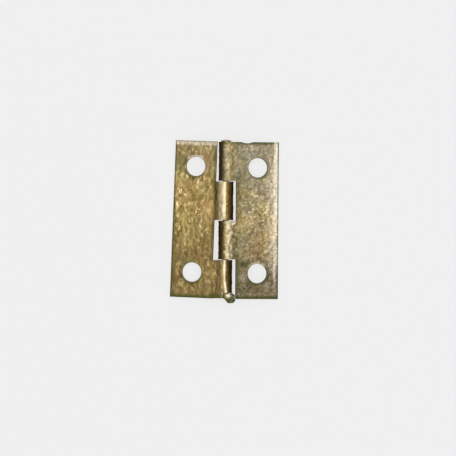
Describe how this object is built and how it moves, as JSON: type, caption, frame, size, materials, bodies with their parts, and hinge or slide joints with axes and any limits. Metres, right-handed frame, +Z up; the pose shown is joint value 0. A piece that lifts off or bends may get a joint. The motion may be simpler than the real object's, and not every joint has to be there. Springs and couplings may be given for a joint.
{
  "type": "box hinge",
  "caption": "Small open box hinge of pressed brass plated sheet: flat leaves with plain screw holes, curled knuckles and a headed wire pin.",
  "frame": {"origin": "on the floor under the pin axis, at the middle of the leaves' length", "axes": "+Y along the pin towards its domed head, +X towards the right leaf, +Z up"},
  "size_m": [0.0172, 0.0261, 0.0021],
  "materials": {
    "right_plating": "brass plated sheet steel, dulled and speckled, greyer leaf",
    "left_plating": "brass plated sheet steel, dulled and speckled, golden brown leaf",
    "pin_plating": "brass plated wire, dull"
  },
  "bodies": {
    "fixed_leaf": {"right_leaf": "right_plating"},
    "swinging_leaf": {"left_leaf": "left_plating", "hinge_pin": "pin_plating"}
  },
  "joints": [
    {"name": "leaf_swing", "type": "hinge", "parent": "fixed_leaf", "child": "swinging_leaf", "pos_m": [0, 0, 0.00108], "axis": [0, 1, 0], "range_deg": [-165, 127]}
  ]
}
